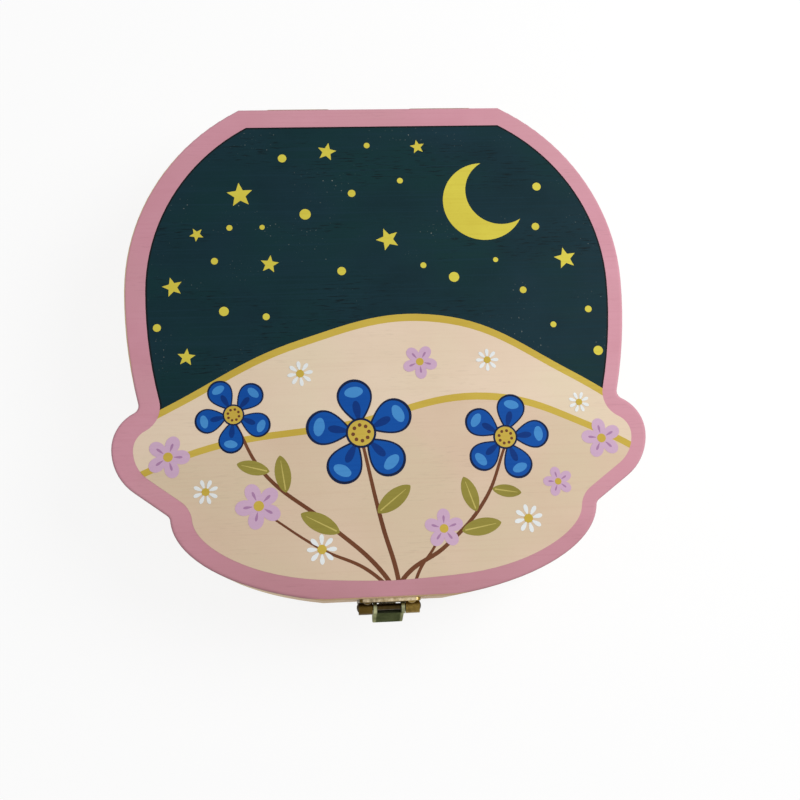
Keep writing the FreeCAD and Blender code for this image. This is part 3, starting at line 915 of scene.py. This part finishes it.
def flowerBlank(part):
    if "petal" in part:
        blank = petalBlank(*part["petal"])
    elif "lobes" in part:
        blank = lobedBlank(*part["lobes"])
    else:
        blank = flatRound(*part["round"])
    if "outMm" in part:
        movePiece(blank, (0, part["outMm"], 0))
    return ringOf(blank, part["count"]) if "count" in part else blank


for name, part in flowerParts.items():
    layInk(scatter(flowerBlank(part), posy[part["at"]], name), part["layer"], name, part["ink"])
discard(blankField)
discard(tallField)
print("posy printed")


# floor, light and camera

def seenDirectly(tree):
    path = tree.nodes.new("ShaderNodeLightPath")
    rays = [path.outputs[ray] for ray in ("Is Camera Ray", "Is Glossy Ray", "Is Transmission Ray")]
    either = counted(tree, "ADD", counted(tree, "ADD", rays[0], rays[1]), rays[2])
    return counted(tree, "MINIMUM", either, 1.0)


# the floor's glow grows with the distance in metres until it is whole, so that no horizon shows
stage = {"radius": 3, "sides": 96, "dropMm": 0.05, "grey": 0.9, "rough": 0.9,
         "glowRange": (0.12, 0.6, 0.86, 1.0)}


def buildStage():
    dropAll()
    bpy.ops.mesh.primitive_circle_add(vertices=stage["sides"], radius=stage["radius"], fill_type="NGON",
                                      location=(0, 0, -stage["dropMm"] * mm))
    floor = bpy.context.object
    floor.name = "floor"
    finish, tree, shader, coords = startFinish("pale_floor")
    shader.inputs["Base Color"].default_value = (stage["grey"], stage["grey"], stage["grey"], 1)
    shader.inputs["Roughness"].default_value = stage["rough"]
    shader.inputs["Specular IOR Level"].default_value = 0
    glow = tree.nodes.new("ShaderNodeEmission")
    glow.inputs["Strength"].default_value = 1
    away = tree.nodes.new("ShaderNodeVectorMath")
    away.operation = "LENGTH"
    tree.links.new(coords, away.inputs[0])
    white = ranged(tree, away.outputs["Value"], *stage["glowRange"])
    both = tree.nodes.new("ShaderNodeMixShader")
    tree.links.new(times(tree, seenDirectly(tree), white), both.inputs[0])
    tree.links.new(shader.outputs[0], both.inputs[1])
    tree.links.new(glow.outputs[0], both.inputs[2])
    tree.links.new(both.outputs[0], tree.nodes["Material Output"].inputs["Surface"])
    dress(floor, finish)


# a lamp is its name, place, size and watts
studio = {
    "worldLevel": 0.5,
    "lamps": [("key", (265, 70, 320), 280, 1.2), ("fill", (-240, -260, 330), 320, 0.06)],
    "cameraMm": (-14.84, -62.13, 265.39), "cameraTurnDeg": (11.77, -4.05, -2.64),
    "lensMm": 48.09, "sensorMm": 36, "clipMm": 10,
}


def lightStudio():
    world = bpy.context.scene.world or bpy.data.worlds.new("studio")
    bpy.context.scene.world = world
    world.use_nodes = True
    tree = world.node_tree
    background = tree.nodes["Background"]
    background.inputs["Color"].default_value = (1, 1, 1, 1)
    level = ranged(tree, seenDirectly(tree), 0, 1, studio["worldLevel"], 1.0)
    tree.links.new(level, background.inputs["Strength"])
    for name, placeMm, sizeMm, watts in studio["lamps"]:
        bpy.ops.object.light_add(type="AREA", location=[part * mm for part in placeMm])
        lamp = bpy.context.object
        lamp.name = name + "_lamp"
        lamp.data.shape = "DISK"
        lamp.data.size = sizeMm * mm
        lamp.data.energy = watts
        lamp.rotation_euler = (-lamp.location).to_track_quat("-Z", "Y").to_euler()


def setCamera():
    bpy.ops.object.camera_add(location=[part * mm for part in studio["cameraMm"]],
                              rotation=[math.radians(turn) for turn in studio["cameraTurnDeg"]])
    camera = bpy.context.object
    camera.data.sensor_width = studio["sensorMm"]
    camera.data.lens = studio["lensMm"]
    camera.data.clip_start = studio["clipMm"] * mm
    bpy.context.scene.camera = camera
    bpy.context.scene.view_settings.view_transform = "Standard"


buildStage()
lightStudio()
setCamera()
print("studio ready")
